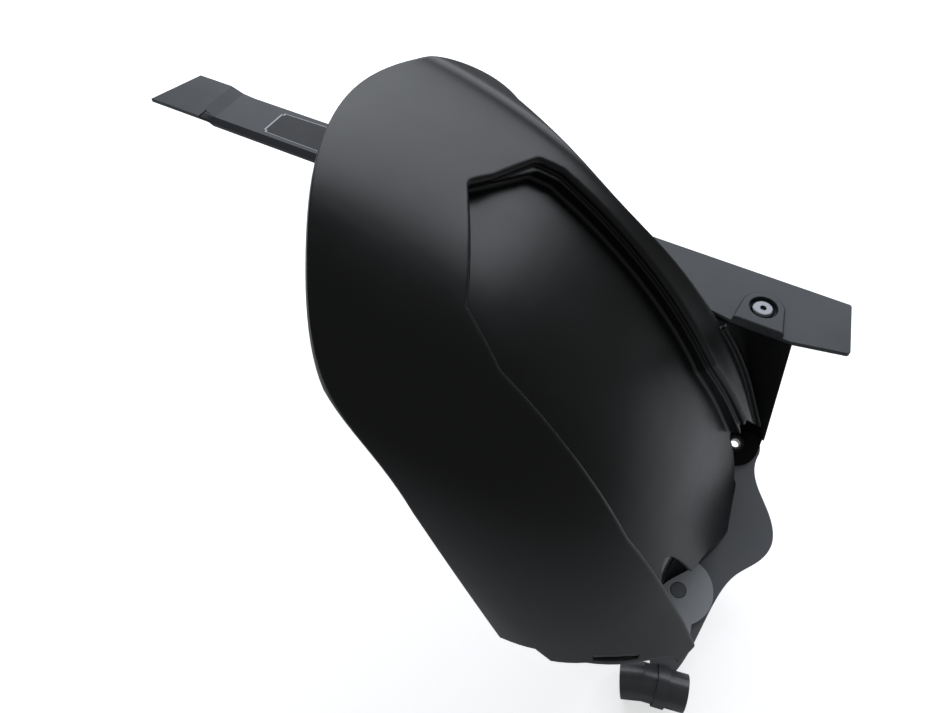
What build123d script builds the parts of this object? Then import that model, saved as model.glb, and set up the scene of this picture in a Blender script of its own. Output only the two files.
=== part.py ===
"""Rear hugger mudguard with chain guard, guard bracket, front stay and hose guide. Millimetres.

Frame: origin at the bracket's foot bore, +X forward, +Y to the bike's left, +Z up.
"""
import os
from math import cos, radians, sin

from build123d import *

os.makedirs("parts", exist_ok=True)

# Where the main features stand, measured from the foot bore
WHEEL_Y = -108
AXLE_Z = -81
FRONT_X = 61
GUARD = (-22, 28, 107)
CLIP = (2.7, -174.2, -65)
STAY_TILT = 20

# Hugger shell: turned about the axle over the tyre, straight below STRAIGHT_FROM
# FRONT_X is where the straight front, drawn on, comes to the axle's height
WALL = 3
CROWN_R = 340
SKIRT_Y = -113
SKIRT_DROP = 95
BROW_Y = 130
FLOOR_DROP = 140
STRAIGHT_FROM = 25
STRAIGHT_LENGTH = 150
TURN = 67
TRIM_ANGLE = 60
RECESS_ANGLE = 42
STEP_DEPTH = 5
RECESS_DEPTH = 13
RECESS_ROUND = 6
STEP_WIDTH = 3
EDGE_ROUND = 3
FLOOR_ROUND = 2
RIDGE_Y = -53
FLANGE_TOP = 25
BEAD_RISE = 4
BEAD_WIDTH = 6
LEFT_EDGE = ((111.5, 56), (102.5, 17), (97, -30), (99, -75), (104, -135), (110, -180), (112, -225))

# Fixings and the room left round them
SCREW_D = 6
FREE = 0.2
HEAD_D = 15.5
HEAD_H = 3.4
SOCKET_AF = 4
COUNTERBORE_D = 19
COUNTERBORE_DEPTH = 4
COLLAR_D = 9
NUT_AF = 10
NUT_H = 5

# Chain guard, measured from its screw
PLATE = 3
GUARD_REAR = -522.5
GUARD_FRONT = 59.5
GUARD_INNER = -12.5
GUARD_OUTER = 33.5
GUARD_CORNER = 2
GUARD_SKIRT = 24
REAR_RAISE = 4
RAMP_AT = 48.5
RAMP_LENGTH = 12
FOLD_Y = -3.5
FOLD_DROP = 3
FOLD_EDGE = -8
FOLD_FRONT = -45
BOSS_R = 14.5
BOSS_H = 7
BOSS_ROUND = 1.8

# Bracket and stay sheets
SHEET = 3
LEG_Y = 10.5
FOOT_R = 17
GROMMET_D = 11
GROMMET_FLANGE_D = 13
GROMMET_FLANGE_H = 1
EAR_AT = (1.6, -118)
EAR_R = 24.5
PEG_D = 10.6

# Hose guide
HOSE_D = 21
GUIDE_D = 26
BAND_D = 29
BAND_WIDTH = 8
BAND_AT = 12
GUIDE_FRONT = 29.5
GUIDE_REAR = 15
GUIDE_LAP = 2
FRONT_TURN = 12
REAR_TURN = 19
REAR_DIP = 14
GUIDE_MOUTH = 15

screw_hole_r = SCREW_D / 2 + FREE
ramp_rear = GUARD_REAR + RAMP_AT
ramp_front = ramp_rear + RAMP_LENGTH
plate_top = SHEET + PLATE
axle = (FRONT_X - CROWN_R / cos(radians(STRAIGHT_FROM)), WHEEL_Y, AXLE_Z)
wheel_axis = Axis(axle, (0, -1, 0))
side_plane = Plane(origin=(0, WHEEL_Y, AXLE_Z), x_dir=(1, 0, 0), z_dir=(0, -1, 0))
front_plane = Plane(origin=(0, WHEEL_Y, AXLE_Z), x_dir=(0, 1, 0), z_dir=(1, 0, 0))
guard_plane = Plane(origin=GUARD)
guard_side = Plane(origin=GUARD, x_dir=(1, 0, 0), z_dir=(0, -1, 0))
guard_section = Plane(origin=GUARD, x_dir=(0, 1, 0), z_dir=(1, 0, 0))
stay_plane = Plane(
    origin=(0, 0, 0),
    x_dir=(1, 0, 0),
    z_dir=(0, -sin(radians(STAY_TILT)), cos(radians(STAY_TILT))),
)


def radial_plane(angle):
    """Plane across the radius at this angle: local x is the bike's left, local y runs back round the tyre."""
    return Plane(origin=axle, x_dir=(0, 1, 0), z_dir=(cos(radians(angle)), 0, sin(radians(angle))))


def section_plane(angle):
    """Plane through the axle at this angle: local x is the bike's left, local y runs outward."""
    return Plane(origin=axle, x_dir=(0, 1, 0), z_dir=(sin(radians(angle)), 0, -cos(radians(angle))))


def round_the_tyre(section):
    """The section turned back over the tyre, and run straight down in front of it."""
    with BuildPart() as swept:
        revolve(section, axis=wheel_axis, revolution_arc=TURN)
        extrude(section, amount=STRAIGHT_LENGTH)
    return swept.part


def hoop(inset):
    """Solid under the crown's surface, taken in by inset; the further in, the lower its floor."""
    crown = Spline(
        (SKIRT_Y, CROWN_R - SKIRT_DROP), (SKIRT_Y + 10, CROWN_R - 50), (-65, CROWN_R - 13), (10, CROWN_R),
        (BROW_Y - 35, CROWN_R - 2), (BROW_Y, CROWN_R - 12),
        tangents=((0, 1), (1, -0.45)),
    )
    points = []
    for step in range(9):
        along = crown % (step / 8)
        points.append(crown @ (step / 8) + Vector(along.Y, -along.X) * inset)
    floor = CROWN_R - FLOOR_DROP - 5 * inset
    with BuildSketch(section_plane(STRAIGHT_FROM)) as section:
        with BuildLine():
            skin = Spline(points, tangents=(crown % 0, crown % 1))
            Polyline(skin @ 1, ((skin @ 1).X, floor), ((skin @ 0).X, floor), skin @ 0)
        make_face()
    return round_the_tyre(section.sketch)


def recess_prism(corners, grow):
    """Outline of a recess seen along the radius at RECESS_ANGLE, let out by grow, as a prism."""
    with BuildPart() as prism:
        with BuildSketch(radial_plane(RECESS_ANGLE).offset(CROWN_R - 100)) as outline:
            with BuildLine():
                Polyline(corners, close=True)
            make_face()
            if grow:
                offset(amount=grow, kind=Kind.INTERSECTION, mode=Mode.REPLACE)
            fillet(outline.vertices(), radius=RECESS_ROUND)
        extrude(amount=150)
    return prism.part


def recessed(inset):
    """The hoop taken in by inset, with the recess and the step along its left side sunk into it."""
    step_left = [(103, -260), (80, 126), (85, 113), (80, -45), (103, -160)]
    deep_left = [(y - STEP_WIDTH, t - (STEP_WIDTH if t > 0 else 0)) for y, t in step_left]
    step = [(0, -260), (0, 90), (40, 142)] + step_left[1:] + step_left[:1]
    right = [(-43, -260), (-45.5, -140), (RIDGE_Y, -40), (-43, 82), (-29, 113), (33, 147)]
    deep = right + deep_left[1:] + deep_left[:1]
    solid = hoop(inset)
    solid -= recess_prism(step, inset) - hoop(inset + STEP_DEPTH)
    solid -= recess_prism(deep, inset) - hoop(inset + RECESS_DEPTH)
    return solid


def recess_edges(solid, depth):
    """Edges of the recess that lie in the hoop's skin at this depth, clear of the hoop's own edges."""
    level = hoop(depth)
    skin = level.faces().filter_by(GeomType.PLANE, reverse=True)
    found = []
    for edge in solid.edges():
        to_skin = min(face.distance_to(edge @ 0.5) for face in skin)
        to_own_edge = min(own.distance_to(edge @ 0.5) for own in level.edges())
        if to_skin < 0.1 and to_own_edge > 1:
            found.append(edge)
    return found


def edge_band(inner, outer):
    """Prism along the front of the left edge, from inner to outer away from it, outside from no width."""
    start, middle, end = LEFT_EDGE[-3:]
    with BuildPart() as band:
        with BuildSketch(radial_plane(TRIM_ANGLE).offset(120)):
            with BuildLine():
                inside = Spline([(y + inner, t) for y, t in (start, middle, end)])
                outside = Spline(start, (middle[0] + outer, middle[1]), (end[0] + outer, end[1]))
                Line(inside @ 0, outside @ 0)
                Line(inside @ 1, outside @ 1)
            make_face()
        extrude(amount=320)
    return band.part


def flange():
    """Wall that hangs from the recess floor's free edge down to the stay's upper face."""
    with BuildPart() as wall:
        with BuildSketch(Plane.XY.offset(-80)):
            with BuildLine():
                front = Spline(
                    (12, -26), (18, -46), (17.5, -63), (12.5, -78.5), (5, -93), (-9, -112), (-13, -132),
                    (-12.5, -151),
                )
                rear = front.moved(Location((-WALL, 0, 0)))
                add(rear)
                Line(front @ 0, rear @ 0)
                Line(front @ 1, rear @ 1)
            make_face()
        extrude(amount=80 + FLANGE_TOP)
        split(bisect_by=stay_plane.offset(FREE - SHEET), keep=Keep.TOP)
    return wall.part & recessed(0)


with BuildPart() as hugger_shell:
    add(recessed(0))
    fillet(recess_edges(hugger_shell, RECESS_DEPTH), radius=FLOOR_ROUND)
    fillet(recess_edges(hugger_shell, 0), radius=EDGE_ROUND)
    add(recessed(WALL), mode=Mode.SUBTRACT)
    # Round tip and left edge
    with BuildSketch(radial_plane(TRIM_ANGLE).offset(120)):
        with BuildLine():
            tip = Spline(
                (-109, -40), (-103, -3), (-92.4, 41.5), (-53, 86.3), (18.5, 123), (60, 127.5), (101.4, 110),
                (119, 80), LEFT_EDGE[0],
            )
            left = Spline(LEFT_EDGE)
            Polyline(left @ 1, (117, -400), (-150, -400), (-150, -40), tip @ 0)
        make_face()
    extrude(amount=320, mode=Mode.INTERSECT)
    # Bead that rises from the front of the left edge and turns out
    bead_wall = hoop(-BEAD_RISE) - hoop(WALL)
    bead_wall &= edge_band(-WALL, 0)
    add(bead_wall)
    bead_lip = hoop(-BEAD_RISE) - hoop(WALL - BEAD_RISE)
    bead_lip &= edge_band(-WALL, BEAD_WIDTH)
    add(bead_lip)
    # Right rim and front lip
    with BuildSketch(side_plane.offset(36)):
        with BuildLine():
            rim = Spline((-254, 322), (-204, 279), (-167, 248.5), (-133.5, 202.5), (-89.4, 112))
            lip = Polyline(rim @ 1, (-67.5, 115.5), (-57, 104), (-38, 105), (-20, 98))
            nose = Spline(lip @ 1, (-5, 92), (7, 83), (14, 73))
            Polyline(nose @ 1, (90, 73), (90, -160), (-420, -160), (-420, 322), rim @ 0)
        make_face()
    extrude(amount=120, mode=Mode.SUBTRACT)
    # Slot behind the front lip
    with BuildSketch(side_plane.offset(60)):
        with BuildLine():
            Polyline((-36, 112), (-11.5, 102), (-11, 98), (-35, 107.5), close=True)
        make_face()
    extrude(amount=90, mode=Mode.SUBTRACT)
    # Front free edge of the recess floor, with its notch over the ear
    with BuildSketch(front_plane.offset(-114)):
        with BuildLine():
            edge = Spline(
                (91, 106), (86, 81.5), (74, 69), (60, 63), (45.7, 65.5), (31.5, 72), (1, 91), (-12, 97),
            )
            notch = Spline((-12, 97), (-20.8, 123), (-31, 135.5), (-39.5, 125), (-42, 108))
            Polyline(notch @ 1, (-41, -160), (140, -160), (140, 74), (118, 98), (95, 131), edge @ 0)
        make_face()
    extrude(amount=220, mode=Mode.SUBTRACT)
    # Ear on the stay, and the flange that hangs it from the free edge
    with BuildSketch(stay_plane.offset(-SHEET)):
        with BuildLine():
            stem = Spline((18.5, -136), (20.5, -145), (21, -152))
            Polyline(stem @ 1, (2, -152), (-12, -138), stem @ 0)
        make_face()
        with Locations(EAR_AT):
            Circle(EAR_R)
            Circle(PEG_D / 2 + 2 * FREE, mode=Mode.SUBTRACT)
    extrude(amount=SHEET)
    add(flange())
hugger_shell.part.label = "hugger_shell"
export_step(hugger_shell.part, "parts/hugger_shell.step")

with BuildPart() as chain_guard:
    with BuildSketch(guard_plane.offset(SHEET)) as outline:
        with BuildLine():
            Polyline(
                (GUARD_REAR, GUARD_INNER), (GUARD_REAR + 14, GUARD_OUTER + 1), (ramp_front, GUARD_OUTER + 1),
                (ramp_front + 12, GUARD_OUTER), (GUARD_FRONT - 7.5, GUARD_OUTER), (GUARD_FRONT, -9),
                (BOSS_R + 9, -BOSS_R - 2.5), (-BOSS_R - 2, -BOSS_R - 2.5), (FOLD_FRONT, GUARD_INNER),
                close=True,
            )
        make_face()
        fillet(outline.vertices().group_by(Axis.X)[-2:], radius=GUARD_CORNER)
    extrude(amount=PLATE + REAR_RAISE)
    # The plate follows a side profile that steps up at the rear
    with BuildSketch(guard_side.offset(-2 * GUARD_OUTER)):
        with BuildLine():
            lower = Polyline(
                (GUARD_REAR - 1, SHEET + REAR_RAISE), (ramp_rear, SHEET + REAR_RAISE), (ramp_front, SHEET),
                (GUARD_FRONT + 1, SHEET),
            )
            upper = Polyline(
                (GUARD_REAR - 1, plate_top + REAR_RAISE), (ramp_rear, plate_top + REAR_RAISE),
                (ramp_front, plate_top), (GUARD_FRONT + 1, plate_top),
            )
            Line(lower @ 0, upper @ 0)
            Line(lower @ 1, upper @ 1)
        make_face()
    extrude(amount=4 * GUARD_OUTER, mode=Mode.INTERSECT)
    # Inner edge folded down from the ramp forward; over the ramp it turns from flat to folded
    flat = [
        (FOLD_Y + 1, plate_top), (FOLD_Y, plate_top), (GUARD_INNER, plate_top),
        (GUARD_INNER, SHEET), (FOLD_Y, SHEET), (FOLD_Y + 1, SHEET),
    ]
    folded = [
        (FOLD_Y + 1, plate_top), (FOLD_Y, plate_top), (FOLD_EDGE, plate_top - FOLD_DROP),
        (FOLD_EDGE, SHEET - FOLD_DROP), (FOLD_Y, SHEET), (FOLD_Y + 1, SHEET),
    ]
    with BuildSketch(guard_section.offset(ramp_rear)):
        with Locations((FOLD_Y - 20, plate_top)):
            Rectangle(40, 4 * PLATE)
    extrude(amount=FOLD_FRONT - ramp_rear, mode=Mode.SUBTRACT)
    with BuildSketch(guard_section.offset(ramp_rear)) as ramp_start:
        with BuildLine():
            Polyline([(y, z + REAR_RAISE) for y, z in flat], close=True)
        make_face()
    with BuildSketch(guard_section.offset(ramp_front)) as ramp_end:
        with BuildLine():
            Polyline(folded, close=True)
        make_face()
    loft([ramp_start.sketch, ramp_end.sketch], ruled=True)
    extrude(ramp_end.sketch, amount=FOLD_FRONT - ramp_front)
    # Outer side wall over the chain
    with BuildSketch(guard_side.offset(-GUARD_OUTER)):
        with BuildLine():
            Polyline(
                (ramp_rear - 22, SHEET + REAR_RAISE + 1), (ramp_rear, SHEET + REAR_RAISE + 1),
                (ramp_front, SHEET + 1), (GUARD_FRONT - 16.5, SHEET + 1),
                (GUARD_FRONT - 25.5, plate_top - GUARD_SKIRT), (ramp_rear + 8, plate_top - GUARD_SKIRT),
                close=True,
            )
        make_face()
    extrude(amount=PLATE)
    # Boss round the screw
    with BuildSketch(guard_plane.offset(SHEET)):
        with BuildLine():
            boss = ThreePointArc((-BOSS_R, 0), (0, BOSS_R), (BOSS_R, 0))
            Polyline(boss @ 1, (BOSS_R + 3.5, -BOSS_R - 2.5), (-BOSS_R - 1.5, -BOSS_R - 2.5), boss @ 0)
        make_face()
    extrude(amount=BOSS_H)
    top_edges = chain_guard.edges().group_by(Axis.Z)[-1]
    boss_edges = top_edges.filter_by_position(Axis.X, GUARD[0] - 2 * BOSS_R, GUARD[0] + 2 * BOSS_R)
    fillet(boss_edges, radius=BOSS_ROUND)
    with BuildSketch(guard_plane.offset(SHEET + BOSS_H)):
        Circle(COUNTERBORE_D / 2)
    extrude(amount=-COUNTERBORE_DEPTH, mode=Mode.SUBTRACT)
    with BuildSketch(guard_plane):
        Circle(COLLAR_D / 2 + FREE)
    extrude(amount=SHEET + BOSS_H, mode=Mode.SUBTRACT)
chain_guard.part.label = "chain_guard"
export_step(chain_guard.part, "parts/chain_guard.step")

with BuildPart() as guard_bracket:
    with BuildSketch(guard_plane):
        with BuildLine():
            Polyline((-32, -17.5), (22, -17.5), (22, 14), (-20, 14), close=True)
        make_face()
    extrude(amount=SHEET)
    with BuildSketch(Plane(origin=(0, LEG_Y, 0), x_dir=(1, 0, 0), z_dir=(0, -1, 0))):
        with BuildLine():
            Polyline((-54, 110), (3, 110), (18.5, 2.5), (-17, 2.5), close=True)
        make_face()
    extrude(amount=-SHEET)
    with BuildSketch(stay_plane.offset(-SHEET)):
        Circle(FOOT_R)
        with Locations((0, 7)):
            Rectangle(2 * FOOT_R, 14)
    extrude(amount=SHEET)
    with BuildSketch(stay_plane.offset(-SHEET)):
        Circle(GROMMET_D / 2)
    extrude(amount=SHEET, mode=Mode.SUBTRACT)
    with BuildSketch(guard_plane):
        Circle(screw_hole_r)
    extrude(amount=SHEET, mode=Mode.SUBTRACT)
guard_bracket.part.label = "guard_bracket"
export_step(guard_bracket.part, "parts/guard_bracket.step")

with BuildPart() as front_stay:
    with BuildSketch(stay_plane.offset(-2 * SHEET)):
        with BuildLine():
            wave = Spline(
                (19, 0), (22, -17), (42.5, -42), (49.5, -60), (45.5, -74), (34.5, -90), (28, -112), (25, -145),
                (20, -171.3),
            )
            back = Spline((4, -174.7), (-10, -140), (-15, -100), (-FOOT_R, 0))
            Line(wave @ 1, back @ 0)
            ThreePointArc(back @ 1, (1, FOOT_R), wave @ 0)
        make_face()
    extrude(amount=SHEET)
    with BuildSketch(stay_plane.offset(-2 * SHEET)):
        Circle(screw_hole_r)
    extrude(amount=SHEET, mode=Mode.SUBTRACT)
    # Peg that locates the ear
    with BuildSketch(stay_plane.offset(-SHEET)):
        with Locations(EAR_AT):
            Circle(PEG_D / 2)
    extrude(amount=SHEET)
front_stay.part.label = "front_stay"
export_step(front_stay.part, "parts/front_stay.step")

with BuildPart() as hose_guide:
    front_x, front_y = cos(radians(FRONT_TURN)), sin(radians(FRONT_TURN))
    rear_x, rear_y = cos(radians(REAR_TURN)), sin(radians(REAR_TURN))
    level, dip = cos(radians(REAR_DIP)), sin(radians(REAR_DIP))
    front_end = Plane(origin=CLIP, x_dir=(-front_y, front_x, 0), z_dir=(front_x, front_y, 0))
    rear_end = Plane(origin=CLIP, x_dir=(rear_y, -rear_x, 0), z_dir=(-level * rear_x, -level * rear_y, -dip))
    for end, length in ((front_end, GUIDE_FRONT), (rear_end, GUIDE_REAR)):
        with BuildSketch(end.offset(-GUIDE_LAP)):
            Circle(GUIDE_D / 2)
        extrude(amount=length + GUIDE_LAP)
    with BuildSketch(front_end.offset(BAND_AT - BAND_WIDTH / 2)):
        Circle(BAND_D / 2)
    extrude(amount=BAND_WIDTH)
    for end, length in ((front_end, GUIDE_FRONT), (rear_end, GUIDE_REAR)):
        with BuildSketch(end.offset(-5)):
            Circle(HOSE_D / 2)
            with Locations((0, -GUIDE_D / 2)):
                Rectangle(GUIDE_MOUTH, GUIDE_D)
        extrude(amount=length + 10, mode=Mode.SUBTRACT)
    # The stay's tip is let into the wall
    with BuildSketch(stay_plane.offset(-2 * SHEET - FREE)):
        with Locations((12.5, -155.7)):
            Rectangle(40, 38.4)
    extrude(amount=SHEET + 2 * FREE, mode=Mode.SUBTRACT)
hose_guide.part.label = "hose_guide"
export_step(hose_guide.part, "parts/hose_guide.step")

with BuildPart() as guard_screw:
    with BuildSketch(guard_plane.offset(SHEET + PLATE)):
        Circle(HEAD_D / 2)
    extrude(amount=HEAD_H)
    fillet(guard_screw.edges().sort_by(Axis.Z)[-1], radius=HEAD_H - 0.8)
    with BuildSketch(guard_plane.offset(SHEET + PLATE + HEAD_H)):
        RegularPolygon(SOCKET_AF / 2, 6, major_radius=False)
    extrude(amount=-2, mode=Mode.SUBTRACT)
    with BuildSketch(guard_plane.offset(-NUT_H - 1)):
        Circle(SCREW_D / 2)
    extrude(amount=NUT_H + 1 + SHEET + PLATE)
guard_screw.part.label = "guard_screw"
export_step(guard_screw.part, "parts/guard_screw.step")

with BuildPart() as guard_collar:
    with BuildSketch(guard_plane.offset(SHEET)):
        Circle(COLLAR_D / 2)
        Circle(screw_hole_r, mode=Mode.SUBTRACT)
    extrude(amount=PLATE)
guard_collar.part.label = "guard_collar"
export_step(guard_collar.part, "parts/guard_collar.step")

with BuildPart() as guard_nut:
    with BuildSketch(guard_plane.offset(-NUT_H)):
        RegularPolygon(NUT_AF / 2, 6, major_radius=False)
        Circle(SCREW_D / 2, mode=Mode.SUBTRACT)
    extrude(amount=NUT_H)
guard_nut.part.label = "guard_nut"
export_step(guard_nut.part, "parts/guard_nut.step")

with BuildPart() as foot_grommet:
    with BuildSketch(stay_plane.offset(-SHEET)):
        Circle(GROMMET_D / 2)
    extrude(amount=SHEET)
    with BuildSketch(stay_plane):
        Circle(GROMMET_FLANGE_D / 2)
    extrude(amount=GROMMET_FLANGE_H)
    with BuildSketch(stay_plane.offset(-SHEET)):
        Circle(COLLAR_D / 2)
    extrude(amount=SHEET + GROMMET_FLANGE_H, mode=Mode.SUBTRACT)
foot_grommet.part.label = "foot_grommet"
export_step(foot_grommet.part, "parts/foot_grommet.step")

with BuildPart() as foot_collar:
    with BuildSketch(stay_plane.offset(-SHEET)):
        Circle(COLLAR_D / 2)
        Circle(screw_hole_r, mode=Mode.SUBTRACT)
    extrude(amount=SHEET + GROMMET_FLANGE_H)
foot_collar.part.label = "foot_collar"
export_step(foot_collar.part, "parts/foot_collar.step")
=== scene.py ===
# %% [markdown]
# # A rear hugger mudguard, dressed for a studio photograph
#
# A hugger is the mudguard that sits close over a motorcycle's rear tyre. This one is a black
# moulding with a chain guard screwed along its left side, and a bracket, a stay and a hose guide
# below it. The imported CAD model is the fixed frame: ten solids in metres, +X forward, +Y to the
# bike's left, +Z up. Their shapes are right already, so most of the lesson is about finishes. A
# skin, a tongue and a panel of two films are made as pieces of their own, and then come the floor,
# the light and the camera.

# %% Load the frame
from math import atan, cos, degrees, radians, sin

import bmesh
import bpy
from mathutils import Matrix, Vector
from mathutils.bvhtree import BVHTree


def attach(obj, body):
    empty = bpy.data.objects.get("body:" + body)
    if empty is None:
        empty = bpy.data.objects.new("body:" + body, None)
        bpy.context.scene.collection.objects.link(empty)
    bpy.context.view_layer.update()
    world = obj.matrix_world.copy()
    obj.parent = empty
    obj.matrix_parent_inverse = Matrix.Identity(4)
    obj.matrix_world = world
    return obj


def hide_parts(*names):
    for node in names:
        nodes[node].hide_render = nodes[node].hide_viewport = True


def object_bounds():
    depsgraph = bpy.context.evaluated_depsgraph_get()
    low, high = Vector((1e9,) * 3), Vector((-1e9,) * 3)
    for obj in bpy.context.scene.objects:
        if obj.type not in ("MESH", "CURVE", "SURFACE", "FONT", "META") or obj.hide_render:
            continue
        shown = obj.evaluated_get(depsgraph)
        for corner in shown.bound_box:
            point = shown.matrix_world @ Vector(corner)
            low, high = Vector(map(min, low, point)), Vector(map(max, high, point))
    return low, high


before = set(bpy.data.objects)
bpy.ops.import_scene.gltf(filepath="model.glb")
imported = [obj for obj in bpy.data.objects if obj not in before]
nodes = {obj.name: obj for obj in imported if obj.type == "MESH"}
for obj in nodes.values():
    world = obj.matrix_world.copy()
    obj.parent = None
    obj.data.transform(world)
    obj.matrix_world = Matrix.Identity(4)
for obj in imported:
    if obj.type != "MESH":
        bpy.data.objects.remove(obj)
cad_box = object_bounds()
scene = bpy.context.scene
MM = 0.001  # small sizes are written in millimetres, and Blender gets metres
print("nodes:", ", ".join(sorted(nodes)))

# %% [markdown]
# ## Colours, nodes and pieces
# Blender's shaders work in linear light, but a colour as given here is sRGB, so every colour is
# written as sRGB hex and turned to linear by one function. Materials could be wired by hand in the
# shader editor. In a script, one small function that adds a node, makes its settings and links its
# inputs keeps each material short enough to read. The size of a pattern is given in millimetres,
# because noise in the object's own coordinates repeats by the metre, needs no unwrapping, and keeps
# its size on every piece.


# %% Colours, nodes and pieces
def linear(hex_colour):
    """Linear RGBA of an sRGB colour such as "1a1b1d"."""
    channels = [int(hex_colour[i : i + 2], 16) / 255 for i in (0, 2, 4)]
    return [c / 12.92 if c <= 0.04045 else ((c + 0.055) / 1.055) ** 2.4 for c in channels] + [1]


def set_inputs(tree, node, inputs):
    """Sets a node's inputs to values, or links them to sockets."""
    for name, value in inputs.items():
        if isinstance(value, bpy.types.NodeSocket):
            tree.links.new(value, node.inputs[name])
        else:
            node.inputs[name].default_value = value


def add_node(tree, kind, inputs, **settings):
    """A new node with its settings made and its inputs set or linked."""
    node = tree.nodes.new(kind)
    for name, value in settings.items():
        setattr(node, name, value)
    set_inputs(tree, node, inputs)
    return node


def per_metre(size_mm):
    """Texture scale whose pattern repeats about every size_mm."""
    return 1000 / size_mm


def new_material(name):
    """A new material, its tree, its shader and the object's own coordinates."""
    material = bpy.data.materials.new(name)
    material.use_nodes = True
    tree = material.node_tree
    place = add_node(tree, "ShaderNodeTexCoord", {}).outputs["Object"]
    return material, tree, tree.nodes["Principled BSDF"], place


def give(material, *names):
    """Puts the material on the CAD nodes of these names."""
    for name in names:
        nodes[name].material_slots[0].material = material
    print(material.name, "on", ", ".join(names))


def add_piece(name, mesh, material):
    """Puts a mesh into the scene as an object of its own, in this material."""
    mesh.materials.append(material)
    piece = bpy.data.objects.new(name, mesh)
    scene.collection.objects.link(piece)
    return piece


# A Mix node names its sockets alike for every type of value, so the colour ones are picked by number.
MIX_FIRST, MIX_SECOND, MIX_RESULT = 6, 7, 2

# %% [markdown]
# ## One satin finish for mouldings and paint
# Polypropylene, nylon and paint all have a satin skin over a solid colour. The eye tells them apart
# by how dark the body is, how sharp the highlight is and how coarse the grain is. Each could have a
# material built from nothing, but they share one make-up, so one recipe takes those three as
# values.
#
# - The grain is a bump from a fine noise. On the real pieces it is about 0.3 mm across. The picture
#   has little more than a pixel to the millimetre, so to show at all the grain is drawn coarser,
#   at about 1 to 2 mm.
# - Blotches a hand's breadth across vary the gloss, as handling and road film do.
# - The Bevel node rounds the edges for the light. Where it turns the normal, the edge is rubbed
#   paler, and more in one blotch than in the next.

# %% Satin finish
BLOTCH_MM = 70
NOISE_LOW, NOISE_HIGH = 0.3, 0.7  # nearly all of a noise's values lie between these
SATIN_SPREAD = 0.05  # how far a blotch takes the roughness up or down
RUB_BEGINS, RUB_FULL = 0.97, 0.72  # cosine of the angle by which the Bevel node turns the normal
BEVEL_SAMPLES = 6


def satin_finish(name, body, rubbed, rough, sheen, grain_mm, grain_depth_mm, edge_mm=0.8):
    """A satin skin with grain, blotches of gloss, and edges that are rounded and rubbed."""
    material, tree, shader, place = new_material(name)
    grain = add_node(
        tree, "ShaderNodeTexNoise",
        {"Vector": place, "Scale": per_metre(grain_mm), "Detail": 2, "Roughness": 0.6},
    ).outputs["Fac"]
    blotch = add_node(
        tree, "ShaderNodeTexNoise",
        {"Vector": place, "Scale": per_metre(BLOTCH_MM), "Detail": 4, "Roughness": 0.65},
    ).outputs["Fac"]
    rounded = add_node(
        tree, "ShaderNodeBevel", {"Radius": edge_mm * MM}, samples=BEVEL_SAMPLES,
    ).outputs["Normal"]
    flat = add_node(tree, "ShaderNodeNewGeometry", {}).outputs["Normal"]
    turned = add_node(
        tree, "ShaderNodeVectorMath", {0: rounded, 1: flat}, operation="DOT_PRODUCT",
    ).outputs["Value"]
    edge = add_node(
        tree, "ShaderNodeMapRange",
        {"Value": turned, "From Min": RUB_BEGINS, "From Max": RUB_FULL, "To Min": 0, "To Max": 1},
    ).outputs["Result"]
    rub = add_node(tree, "ShaderNodeMath", {0: edge, 1: blotch}, operation="MULTIPLY").outputs[0]
    colour = add_node(
        tree, "ShaderNodeMix",
        {"Factor": rub, MIX_FIRST: linear(body), MIX_SECOND: linear(rubbed)}, data_type="RGBA",
    ).outputs[MIX_RESULT]
    roughness = add_node(
        tree, "ShaderNodeMapRange",
        {"Value": blotch, "From Min": NOISE_LOW, "From Max": NOISE_HIGH,
         "To Min": rough - SATIN_SPREAD, "To Max": rough + SATIN_SPREAD},
    ).outputs["Result"]
    bump = add_node(
        tree, "ShaderNodeBump",
        {"Height": grain, "Distance": grain_depth_mm * MM, "Strength": 1, "Normal": rounded},
    ).outputs["Normal"]
    set_inputs(tree, shader, {
        "Base Color": colour, "Roughness": roughness, "Specular IOR Level": sheen, "Normal": bump,
    })
    return material


# %% [markdown]
# ## The plastics and the painted bracket
# The hugger and its chain guard are polypropylene from an etched mould, the stay and the hose guide
# are nylon, and the bracket is folded sheet steel under black paint. The CAD solids of all but the
# hugger keep their meshes and only get a new material in their slot, which is the least that can be
# done and loses no shape. Sheen is the shader's specular level, 0.5 for a plain plastic. A fine
# grain scatters part of the mirror image, so most of these stay below that.

# %% Plastics and paint
# Polypropylene from a finely etched mould: near black, with one broad soft highlight along the crown.
moulded = satin_finish(
    "moulded_polypropylene", "0b0b0b", "1d1e1f",
    rough=0.32, sheen=0.37, grain_mm=1.1, grain_depth_mm=0.02, edge_mm=2,
)
# The guard's etch is deeper, which spreads the light and makes its top face a dull dark grey.
guard_plastic = satin_finish(
    "guard_polypropylene", "3c3e41", "55575a",
    rough=0.42, sheen=0.25, grain_mm=1.1, grain_depth_mm=0.04,
)
# Sprayed paint is the blackest of all, with a slight orange peel and greyer, rubbed edges.
bracket_paint = satin_finish(
    "black_paint_on_steel", "070707", "242425",
    rough=0.36, sheen=0.15, grain_mm=2.2, grain_depth_mm=0.03,
)
# Nylon with glass in it weathers to a chalky grey, with hardly any difference at its edges.
stay_plastic = satin_finish(
    "stay_nylon", "808286", "909296",
    rough=0.42, sheen=0.4, grain_mm=0.9, grain_depth_mm=0.04,
)
# Plain nylon from a smooth mould is a dark grey with a tighter, brighter highlight along its bend.
guide_plastic = satin_finish(
    "guide_nylon", "48494b", "606163",
    rough=0.3, sheen=0.5, grain_mm=1.4, grain_depth_mm=0.02,
)
give(guard_plastic, "chain_guard")
give(bracket_paint, "guard_bracket")
give(stay_plastic, "front_stay")
give(guide_plastic, "hose_guide")
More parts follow.
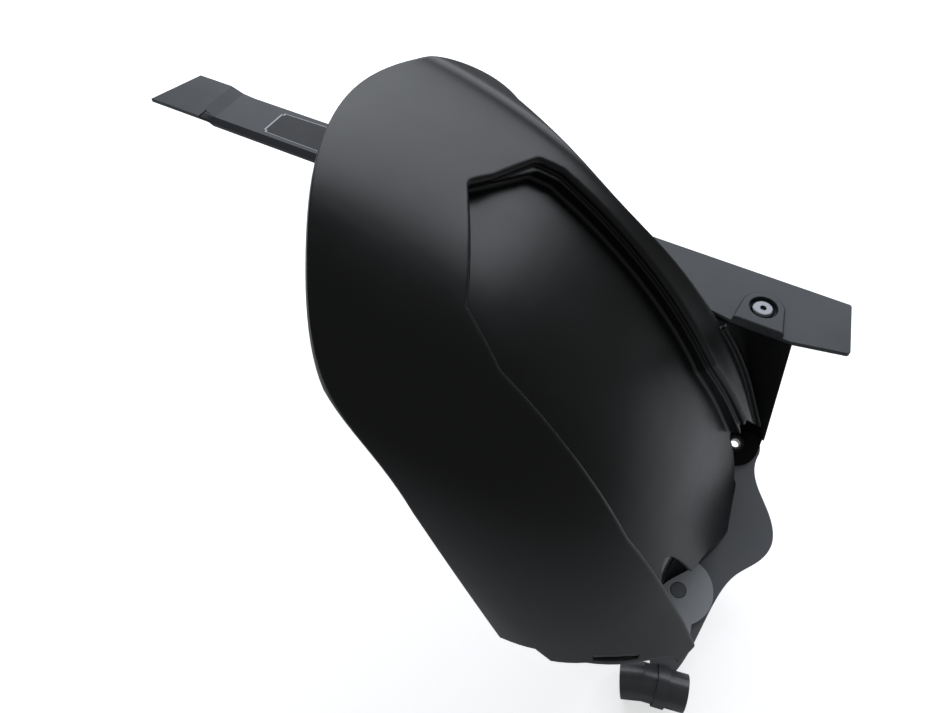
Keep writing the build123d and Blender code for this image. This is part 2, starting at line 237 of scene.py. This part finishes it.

# %% [markdown]
# ## The moulded skin
# The hugger itself is one moulding, but two places on it get colours of their own: painted light on
# the ear and painted shade in the notch. A finer skin could be remeshed over the solid, but voxels
# fray its thin rims. A copy of the solid's mesh keeps every edge, so the copy stands for the solid,
# which stays as it is for collision, and the Bevel node softens its creases.

# %% Moulded skin
skin_mesh = nodes["hugger_shell"].data.copy()
skin_mesh.materials.clear()
skin = add_piece("hugger_skin", skin_mesh, moulded)
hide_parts("hugger_shell")
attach(skin, "root")
print("skin:", len(skin_mesh.polygons), "faces")

# %% [markdown]
# ## The ear's pale face with painted light, and painted shade in the hollow beside it
# The ear is the flat tab that the stay's peg goes into. Its upper face is painted a light grey:
# partly the pale grey it has, like the stay's, and partly painted light, since the crown's shadow
# falls on it.
# The flange in the notch beside it is painted near black and matt, as painted shade. Both could be
# separate sheets laid on the skin, but those would flicker or stand proud. Faces of a mesh can
# carry different materials, so the faces are picked by where they lie and which way they look.

# %% Ear and hollow
EAR_TILT = radians(20)
EAR_X_MM, EAR_REACH_MM = 1.6, 118  # the ear's middle, and its distance from the axis it tilts about
EAR_WITHIN_MM, EAR_ALIKE = 0.05, 0.99  # how near the ear's plane, and how alike, a face lies
HOLLOW_RIGHT, HOLLOW_LEFT = -0.152, -0.095  # metres along Y
HOLLOW_HEIGHT_MM, HOLLOW_LEAN = 60, 0.15  # its height over the ear, and how far its wall may lean
EAR_PAINTED_LIGHT, HOLLOW_PAINTED_SHADE = 1, 2  # places in the skin's list of materials, after the moulded one

ear_up = Vector((0, -sin(EAR_TILT), cos(EAR_TILT)))
ear_middle = Vector((EAR_X_MM, -EAR_REACH_MM * cos(EAR_TILT), -EAR_REACH_MM * sin(EAR_TILT))) * MM
# The ear's face: a pale grey like the stay's, painted lighter still as painted light, since the
# crown's shadow falls on it.
skin_mesh.materials.append(satin_finish(
    "pale_grey_with_painted_light", "c6cace", "d4d8db",
    rough=0.4, sheen=0.5, grain_mm=0.9, grain_depth_mm=0.03,
))
# Painted shade: the upright flange faces in the notch are near black and matt, so that they stay as
# dark as shade.
skin_mesh.materials.append(satin_finish(
    "painted_shade_black", "050505", "0a0a0a",
    rough=0.7, sheen=0.05, grain_mm=1.1, grain_depth_mm=0.04,
))
for face in skin_mesh.polygons:
    height = (face.center - ear_middle).dot(ear_up)
    in_notch = HOLLOW_RIGHT < face.center.y < HOLLOW_LEFT and 0 < height < HOLLOW_HEIGHT_MM * MM
    # Faces in the ear's plane get the painted light, and upright faces in the notch get the painted
    # shade.
    if abs(height) < EAR_WITHIN_MM * MM and face.normal.dot(ear_up) > EAR_ALIKE:
        face.material_index = EAR_PAINTED_LIGHT
    elif in_notch and abs(face.normal.z) < HOLLOW_LEAN:
        face.material_index = HOLLOW_PAINTED_SHADE
finishes = [face.material_index for face in skin_mesh.polygons]
print("ear faces:", finishes.count(EAR_PAINTED_LIGHT), "hollow faces:", finishes.count(HOLLOW_PAINTED_SHADE))

# %% [markdown]
# ## The tongue behind the slot
# A thin pale tongue closes the slot behind the lip. It could be placed by typed heights, but the
# wall curves there. Rays cast at the skin from the bike's right find the wall at each corner, and
# the tongue lies a little below that, inside the wall. A Solidify modifier gives the one face its
# thickness.

# %% Tongue
TONGUE_XZ_MM = [(-40, 34), (-7, 21), (-7, 15.5), (-39, 26)]
TONGUE_DEPTH_MM, TONGUE_THICK_MM = 1.2, 0.8
RAY_START_Y = -0.3  # well clear of the skin on the bike's right

skin_surface = BVHTree.FromPolygons(
    [vertex.co for vertex in skin_mesh.vertices], [face.vertices for face in skin_mesh.polygons],
)
tongue_points = []
for x, z in TONGUE_XZ_MM:
    start = Vector((x * MM, RAY_START_Y, z * MM))
    wall, outward, _, _ = skin_surface.ray_cast(start, Vector((0, 1, 0)))
    tongue_points.append(wall - outward * TONGUE_DEPTH_MM * MM)
tongue_mesh = bpy.data.meshes.new("slot_tongue")
tongue_mesh.from_pydata(tongue_points, [], [(0, 1, 2, 3)])
# Undyed nylon is a warm pale grey and rather dull.
tongue = add_piece("slot_tongue", tongue_mesh, satin_finish(
    "undyed_nylon", "8f8a82", "a8a39b",
    rough=0.6, sheen=0.3, grain_mm=1.1, grain_depth_mm=0.03, edge_mm=0.2,
))
thick = tongue.modifiers.new("thick", "SOLIDIFY")
thick.thickness = TONGUE_THICK_MM * MM
thick.offset = 0
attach(tongue, "root")
print("tongue at", [[round(c, 4) for c in point] for point in tongue_points])

# %% [markdown]
# ## The rubber grommet
# The ring in the foot is black rubber from a plain mould. Rubber has no clear highlight, and with
# age a dull grey bloom comes to its surface in spots of about 3 mm. One noise of that size serves
# both the colour and the bump, because the bloom stands up a little where it is paler.

# %% Rubber
BLOOM_MM, BLOOM_HEIGHT_MM, BLOOM_STRENGTH = 3, 0.05, 0.6

rubber, tree, shader, place = new_material("grommet_rubber")
bloom = add_node(
    tree, "ShaderNodeTexNoise", {"Vector": place, "Scale": per_metre(BLOOM_MM), "Detail": 5},
).outputs["Fac"]
tint = add_node(
    tree, "ShaderNodeMix",
    {"Factor": bloom, MIX_FIRST: linear("131313"), MIX_SECOND: linear("2b2b2a")}, data_type="RGBA",
).outputs[MIX_RESULT]
spots = add_node(
    tree, "ShaderNodeBump",
    {"Height": bloom, "Distance": BLOOM_HEIGHT_MM * MM, "Strength": BLOOM_STRENGTH},
).outputs["Normal"]
set_inputs(tree, shader, {"Base Color": tint, "Roughness": 0.78, "Normal": spots})
give(rubber, "foot_grommet")

# %% [markdown]
# ## The steel screw, nut and collars
# The screw and nut are turned steel with a chemical black on it, and the two collars are plain
# turned steel. A metal shows its colour only in what it reflects, so it is fully metallic and keeps
# the default IOR. Real tool marks are about 0.1 mm apart. They are drawn at 0.4 to 0.5 mm, as
# coarse as they need to be to break up the reflection. A slower mottle of 4 mm varies colour and
# gloss, as a thin finish does over bare metal.

# %% Steel
MOTTLE_MM = 4
STEEL_SPREAD = 0.06  # how far the mottle takes the roughness up or down
STEEL_EDGE_MM = 0.3
MARK_DEPTH_MM, MARK_STRENGTH = 0.02, 0.5


def turned_steel(name, low, high, rough, mark_mm):
    """Turned steel with fine marks, a mottled finish and slightly broken edges."""
    material, tree, shader, place = new_material(name)
    mottle = add_node(
        tree, "ShaderNodeTexNoise", {"Vector": place, "Scale": per_metre(MOTTLE_MM), "Detail": 6},
    ).outputs["Fac"]
    marks = add_node(
        tree, "ShaderNodeTexNoise", {"Vector": place, "Scale": per_metre(mark_mm), "Detail": 3},
    ).outputs["Fac"]
    colour = add_node(
        tree, "ShaderNodeMix",
        {"Factor": mottle, MIX_FIRST: linear(low), MIX_SECOND: linear(high)}, data_type="RGBA",
    ).outputs[MIX_RESULT]
    roughness = add_node(
        tree, "ShaderNodeMapRange",
        {"Value": mottle, "From Min": NOISE_LOW, "From Max": NOISE_HIGH,
         "To Min": rough - STEEL_SPREAD, "To Max": rough + STEEL_SPREAD},
    ).outputs["Result"]
    rounded = add_node(
        tree, "ShaderNodeBevel", {"Radius": STEEL_EDGE_MM * MM}, samples=BEVEL_SAMPLES,
    ).outputs["Normal"]
    bump = add_node(
        tree, "ShaderNodeBump",
        {"Height": marks, "Distance": MARK_DEPTH_MM * MM, "Strength": MARK_STRENGTH,
         "Normal": rounded},
    ).outputs["Normal"]
    set_inputs(tree, shader, {
        "Base Color": colour, "Metallic": 1, "Roughness": roughness, "Normal": bump,
    })
    return material


# A chemical black leaves steel a dark grey that still mirrors the light.
blackened = turned_steel("blackened_steel", "5a5b5e", "7c7d80", rough=0.34, mark_mm=0.5)
# Plain steel is brighter and a little warmer.
plain = turned_steel("plain_steel", "6f6e6c", "9a9997", rough=0.3, mark_mm=0.4)
give(blackened, "guard_screw", "guard_nut")
give(plain, "guard_collar", "foot_collar")

# %% [markdown]
# ## The panel on the chain guard
# A dark film panel is stuck to the guard's top face near its rear end, with a light keyline round
# it. It could be drawn in the guard's material, but then the exported meshes would have no panel.
# Two thin plates with rounded corners, the dark one smaller and a little higher, are simple and
# have real edges.

# %% Panel
PANEL_XY_MM = [(-437.5, 28.2), (-362, 27.4), (-372, 57.8), (-437.2, 56)]
GUARD_TOP_MM = 113
PANEL_CORNER_MM, PANEL_CORNER_STEPS = 2.2, 5


def panel_film(name, inset_mm, height_mm, material):
    """The panel's outline, its corners taken in by inset, as a thin plate on the guard's top."""
    middle = sum((Vector(corner) for corner in PANEL_XY_MM), Vector((0, 0))) / len(PANEL_XY_MM)
    plate = bmesh.new()
    corners = []
    for corner in map(Vector, PANEL_XY_MM):
        inner = corner + (middle - corner).normalized() * inset_mm
        corners.append(plate.verts.new((inner.x * MM, inner.y * MM, GUARD_TOP_MM * MM)))
    plate.faces.new(corners)
    bmesh.ops.bevel(
        plate, geom=list(plate.verts), offset=PANEL_CORNER_MM * MM, segments=PANEL_CORNER_STEPS,
        affect="VERTICES",
    )
    raised = bmesh.ops.extrude_face_region(plate, geom=list(plate.faces))
    for element in raised["geom"]:
        if isinstance(element, bmesh.types.BMVert):
            element.co.z += height_mm * MM
    bmesh.ops.recalc_face_normals(plate, faces=plate.faces)
    mesh = bpy.data.meshes.new(name)
    plate.to_mesh(mesh)
    plate.free()
    piece = add_piece(name, mesh, material)
    print(name, "of", len(mesh.polygons), "faces")
    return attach(piece, "root")


# Pale ink under clear film: an even colour with a faint grain, drawn coarser than life to show.
keyline_ink = satin_finish(
    "keyline_ink", "b4b8bb", "d0d3d5",
    rough=0.4, sheen=0.3, grain_mm=0.6, grain_depth_mm=0.01, edge_mm=0.1,
)
# Vinyl film rolled smooth: dark, and duller than the plastic below, its grain coarser than life too.
panel_vinyl = satin_finish(
    "panel_vinyl", "2a2b2d", "3a3b3d",
    rough=0.4, sheen=0.15, grain_mm=0.8, grain_depth_mm=0.01, edge_mm=0.1,
)
panel_film("panel_keyline", 0, 0.15, keyline_ink)
panel_film("panel_face", 1.6, 0.22, panel_vinyl)

# %% [markdown]
# ## The floor
# The part lies over white paper. A plane would do, but its corners can come into view, so the floor
# is a wide disc just below the lowest piece. Paper is matt, with a faint cloudiness from its
# fibres. To be white behind the part it glows, but only to the camera, which Light Path tells
# apart, so it puts no light on the part.

# %% Floor
FLOOR_GAP_MM = 0.5
FLOOR_RADIUS, FLOOR_SIDES = 2.2, 96
FLOOR_MIDDLE = (-0.15, 0.1)
FIBRE_CLOUD_MM = 8
PAPER_GLOW = 0.6  # added to what the paper reflects, so that the shadow still shows

floor_z = cad_box[0].z - FLOOR_GAP_MM * MM
disc = bmesh.new()
bmesh.ops.create_circle(disc, cap_ends=True, radius=FLOOR_RADIUS, segments=FLOOR_SIDES)
floor_mesh = bpy.data.meshes.new("floor")
disc.to_mesh(floor_mesh)
disc.free()
paper, tree, shader, place = new_material("white_paper")
fibres = add_node(
    tree, "ShaderNodeTexNoise", {"Vector": place, "Scale": per_metre(FIBRE_CLOUD_MM), "Detail": 5},
).outputs["Fac"]
white = add_node(
    tree, "ShaderNodeMix",
    {"Factor": fibres, MIX_FIRST: linear("f4f4f4"), MIX_SECOND: linear("fafafa")}, data_type="RGBA",
).outputs[MIX_RESULT]
to_camera = add_node(tree, "ShaderNodeLightPath", {}).outputs["Is Camera Ray"]
glow = add_node(
    tree, "ShaderNodeMath", {0: to_camera, 1: PAPER_GLOW}, operation="MULTIPLY",
).outputs[0]
set_inputs(tree, shader, {
    "Base Color": white, "Roughness": 0.9, "Specular IOR Level": 0.1,
    "Emission Color": linear("ffffff"), "Emission Strength": glow,
})
floor = add_piece("floor", floor_mesh, paper)
floor.location = (*FLOOR_MIDDLE, floor_z)
print("floor at", round(floor_z, 4))

# %% [markdown]
# ## The room
# Black plastic shows the room that it stands in. A white room would fill its dark sides, so the
# room that lights the part is a dim grey, and Light Path gives the camera a white one instead. A
# backdrop could do the same, but it would stand in the way in other views.

# %% Room
ROOM_GREY = (0.19, 0.195, 0.2, 1)  # linear
ROOM_WHITE = (1, 1, 1, 1)

world = bpy.data.worlds.new("studio")
scene.world = world
world.use_nodes = True
room = world.node_tree
to_camera = add_node(room, "ShaderNodeLightPath", {}).outputs["Is Camera Ray"]
room_colour = add_node(
    room, "ShaderNodeMix",
    {"Factor": to_camera, MIX_FIRST: ROOM_GREY, MIX_SECOND: ROOM_WHITE}, data_type="RGBA",
).outputs[MIX_RESULT]
set_inputs(room, room.nodes["Background"], {"Color": room_colour})
scene.view_settings.view_transform = "Standard"
print("room:", ROOM_GREY[:3])

# %% [markdown]
# ## The window light
# One large soft light, like a high window on the bike's left, gives the crown its long bright top
# and leaves the side towards the camera nearly black. More lamps would only flatten the form. Its
# width is what makes the highlight broad and the shadow soft.

# %% Window light
WINDOW_AT = Vector((-0.48, 1.13, 1.23))
WINDOW_FACES = Vector((-0.12, -0.1, 0.1))
WINDOW_SIZE = (2.6, 1.3)
WINDOW_WATTS = 33

window_light = bpy.data.lights.new("window", "AREA")
window_light.shape = "RECTANGLE"
window_light.size, window_light.size_y = WINDOW_SIZE
window_light.energy = WINDOW_WATTS
window_light.color = linear("f2f7ff")[:3]
window = bpy.data.objects.new("window", window_light)
window.location = WINDOW_AT
window.rotation_euler = (WINDOW_FACES - WINDOW_AT).to_track_quat("-Z", "Y").to_euler()
scene.collection.objects.link(window)
print("window of", WINDOW_SIZE, "m with", WINDOW_WATTS, "W")

# %% [markdown]
# ## The camera
# The camera looks from 28 degrees forward of the right-hand side and 53 degrees up. It could be
# aimed with a Track To constraint, but its place and directions are known, so they go straight into
# its matrix. A focal length in pixels becomes one in millimetres through the sensor's width.

# %% Camera
SENSOR_MM = 36
FOCAL_PIXELS, FRAME_PIXELS = 745, 950
CAMERA_AT = (-0.0392, -0.3472, 0.4917)
CAMERA_RIGHT = Vector((0.8829, 0.4695, 0)).normalized()
CAMERA_BACK = Vector((0.2825, -0.5314, 0.7986)).normalized()

camera_data = bpy.data.cameras.new("camera")
camera_data.sensor_width = SENSOR_MM
camera_data.lens = SENSOR_MM * FOCAL_PIXELS / FRAME_PIXELS
camera_data.clip_start = 10 * MM
camera = bpy.data.objects.new("camera", camera_data)
scene.collection.objects.link(camera)
turn = Matrix((CAMERA_RIGHT, CAMERA_BACK.cross(CAMERA_RIGHT), CAMERA_BACK)).transposed()
camera.matrix_world = Matrix.Translation(CAMERA_AT) @ turn.to_4x4()
scene.camera = camera
print("field of view", round(degrees(2 * atan(FRAME_PIXELS / 2 / FOCAL_PIXELS)), 2))
